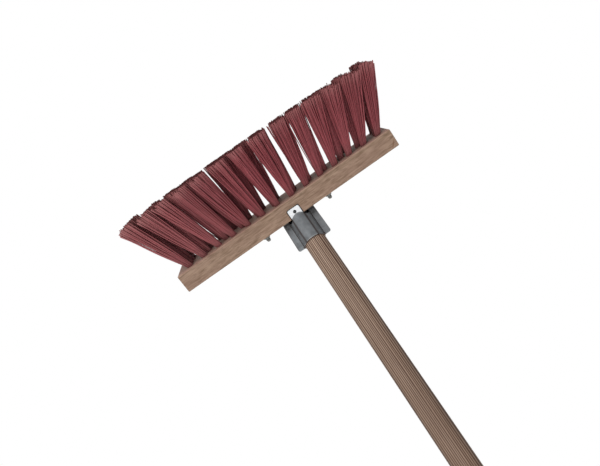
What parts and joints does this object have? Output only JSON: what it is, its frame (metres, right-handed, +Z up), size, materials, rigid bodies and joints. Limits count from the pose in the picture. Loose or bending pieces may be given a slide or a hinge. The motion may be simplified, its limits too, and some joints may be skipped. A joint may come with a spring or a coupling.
{
  "type": "push broom",
  "caption": "Street push broom: wooden block with fanned rows of stiff plastic bristles, a two-shell sheet steel holder and a slanted round wooden handle.",
  "frame": {"origin": "centre of the block's plan, in the plane of the bristle tips", "axes": "+X along the block, +Z up from the bristle tips to the block, -Y the front, over which the handle leans"},
  "size_m": [0.3746, 0.9563, 1.2013],
  "materials": {
    "block_wood": "planed, unfinished beech",
    "bristle": "satin extruded plastic",
    "anchor_wire": "flat steel wire",
    "zinc_sheet": "zinc-plated pressed sheet",
    "nail": "dark steel",
    "fastener": "zinc-plated",
    "handle_wood": "sanded, strong grain"
  },
  "bodies": {
    "head": {"block": "block_wood", "bristles_row_1_left": "bristle", "bristles_row_1_right": "bristle", "bristles_row_2_left": "bristle", "bristles_row_2_right": "bristle", "bristles_row_3_left": "bristle", "bristles_row_3_right": "bristle", "bristles_row_4_left": "bristle", "bristles_row_4_right": "bristle", "anchors_row_1": "anchor_wire", "anchors_row_2": "anchor_wire", "anchors_row_3": "anchor_wire", "anchors_row_4": "anchor_wire", "front_shell": "zinc_sheet", "rear_shell": "zinc_sheet", "tongue_nail": "nail", "base_studs": "fastener", "base_washers": "fastener", "base_nuts": "fastener"},
    "handle": {"handle": "handle_wood"}
  },
  "joints": [
    {"name": "handle_pull", "type": "slide", "parent": "head", "child": "handle", "axis": [0, -0.6428, 0.766], "range_m": [0, 0.06]}
  ]
}
